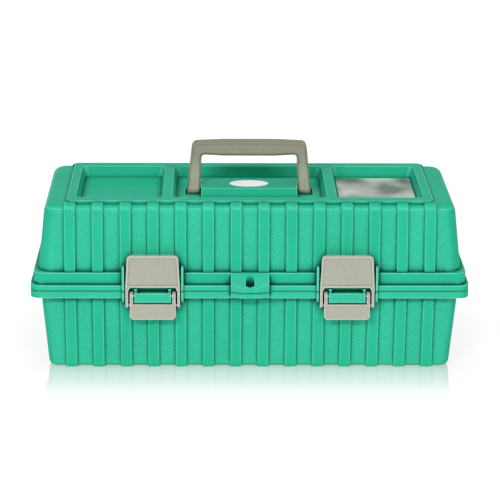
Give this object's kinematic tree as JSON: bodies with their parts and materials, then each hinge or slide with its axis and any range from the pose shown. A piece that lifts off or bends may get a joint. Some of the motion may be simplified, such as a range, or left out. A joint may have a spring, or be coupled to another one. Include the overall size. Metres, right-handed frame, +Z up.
{
  "type": "tool box",
  "caption": "Ribbed plastic tool box with a deep hinged lid, trays that rise on arms, a folding handle, draw latches and a padlock hasp.",
  "frame": {"origin": "middle of the underside of the base", "axes": "+X along the length to the right of someone facing the latches, +Y to the rear hinge, +Z up"},
  "size_m": [0.43, 0.21, 0.2122],
  "materials": {
    "green_plastic": "satin moulded",
    "grey_plastic": "satin moulded",
    "tray_plastic": "satin moulded",
    "steel": "plated",
    "white_label": "bare film",
    "silver_label": "bare silver film"
  },
  "bodies": {
    "base": {"base": "green_plastic", "hinge_pins": "steel", "base_arm_rivets": "steel", "lever_pins": "steel"},
    "lid": {"lid": "green_plastic", "handle_pins": "steel", "oval_label": "white_label", "sheet_label": "silver_label", "lid_tray_pins": "steel"},
    "handle": {"handle": "grey_plastic"},
    "lower_tray": {"lower_tray": "tray_plastic", "lower_tray_rivets": "steel"},
    "upper_tray": {"upper_tray": "tray_plastic", "upper_tray_rivets": "steel"},
    "rear_lower_arm_left": {"rear_lower_arm_left": "steel"},
    "rear_lower_arm_right": {"rear_lower_arm_right": "steel"},
    "front_lower_arm_left": {"front_lower_arm_left": "steel"},
    "front_lower_arm_right": {"front_lower_arm_right": "steel"},
    "upper_arm_left": {"upper_arm_left": "steel"},
    "upper_arm_right": {"upper_arm_right": "steel"},
    "latch_lever_left": {"latch_lever_left": "grey_plastic", "claw_pins_left": "steel"},
    "latch_claw_left": {"latch_claw_left": "grey_plastic"},
    "latch_lever_right": {"latch_lever_right": "grey_plastic", "claw_pins_right": "steel"},
    "latch_claw_right": {"latch_claw_right": "grey_plastic"}
  },
  "joints": [
    {"name": "lid_hinge", "type": "hinge", "parent": "base", "child": "lid", "pos_m": [0, 0.1015, 0.0835], "axis": [-1, 0, 0], "range_deg": [0, 100]},
    {"name": "rear_lower_arm_left_pivot", "type": "hinge", "parent": "base", "child": "rear_lower_arm_left", "pos_m": [-0.1915, 0.0535, 0.0745], "axis": [-1, 0, 0], "range_deg": [0, 100]},
    {"name": "front_lower_arm_left_pivot", "type": "hinge", "parent": "base", "child": "front_lower_arm_left", "pos_m": [-0.1915, -0.0073, 0.0745], "axis": [-1, 0, 0], "range_deg": [0, 100]},
    {"name": "rear_lower_arm_right_pivot", "type": "hinge", "parent": "base", "child": "rear_lower_arm_right", "pos_m": [0.1915, 0.0535, 0.0745], "axis": [-1, 0, 0], "range_deg": [0, 100]},
    {"name": "front_lower_arm_right_pivot", "type": "hinge", "parent": "base", "child": "front_lower_arm_right", "pos_m": [0.1915, -0.0073, 0.0745], "axis": [-1, 0, 0], "range_deg": [0, 100]},
    {"name": "lower_tray_pivot", "type": "hinge", "parent": "rear_lower_arm_left", "child": "lower_tray", "pos_m": [-0.1915, 0.0155, 0.0805], "axis": [-1, 0, 0], "range_deg": [-100, 0]},
    {"name": "upper_arm_left_pivot", "type": "hinge", "parent": "lower_tray", "child": "upper_arm_left", "pos_m": [-0.1915, 0.0415, 0.102], "axis": [-1, 0, 0], "range_deg": [0, 100]},
    {"name": "upper_arm_right_pivot", "type": "hinge", "parent": "lower_tray", "child": "upper_arm_right", "pos_m": [0.1915, 0.0415, 0.102], "axis": [-1, 0, 0], "range_deg": [0, 100]},
    {"name": "upper_tray_pivot", "type": "hinge", "parent": "lid", "child": "upper_tray", "pos_m": [0, 0.0255, 0.102], "axis": [-1, 0, 0], "range_deg": [-100, 0]},
    {"name": "handle_fold", "type": "hinge", "parent": "lid", "child": "handle", "pos_m": [0, 0, 0.1631], "axis": [-1, 0, 0], "range_deg": [-80, 80]},
    {"name": "latch_lever_left_turn", "type": "hinge", "parent": "base", "child": "latch_lever_left", "pos_m": [-0.0952, -0.0935, 0.078], "axis": [-1, 0, 0], "range_deg": [0, 115]},
    {"name": "latch_claw_left_turn", "type": "hinge", "parent": "latch_lever_left", "child": "latch_claw_left", "pos_m": [-0.0952, -0.093, 0.0685], "axis": [-1, 0, 0], "range_deg": [-133, 0]},
    {"name": "latch_lever_right_turn", "type": "hinge", "parent": "base", "child": "latch_lever_right", "pos_m": [0.0952, -0.0935, 0.078], "axis": [-1, 0, 0], "range_deg": [0, 115]},
    {"name": "latch_claw_right_turn", "type": "hinge", "parent": "latch_lever_right", "child": "latch_claw_right", "pos_m": [0.0952, -0.093, 0.0685], "axis": [-1, 0, 0], "range_deg": [-133, 0]}
  ],
  "couplings": [
    {"joint": "rear_lower_arm_left_pivot", "follows": "lid_hinge", "ratio": 1},
    {"joint": "front_lower_arm_left_pivot", "follows": "lid_hinge", "ratio": 1},
    {"joint": "rear_lower_arm_right_pivot", "follows": "lid_hinge", "ratio": 1},
    {"joint": "front_lower_arm_right_pivot", "follows": "lid_hinge", "ratio": 1},
    {"joint": "lower_tray_pivot", "follows": "lid_hinge", "ratio": -1},
    {"joint": "upper_arm_left_pivot", "follows": "lid_hinge", "ratio": 1},
    {"joint": "upper_arm_right_pivot", "follows": "lid_hinge", "ratio": 1},
    {"joint": "upper_tray_pivot", "follows": "lid_hinge", "ratio": -1},
    {"joint": "latch_claw_left_turn", "follows": "latch_lever_left_turn", "ratio": -1.15},
    {"joint": "latch_claw_right_turn", "follows": "latch_lever_right_turn", "ratio": -1.15}
  ]
}
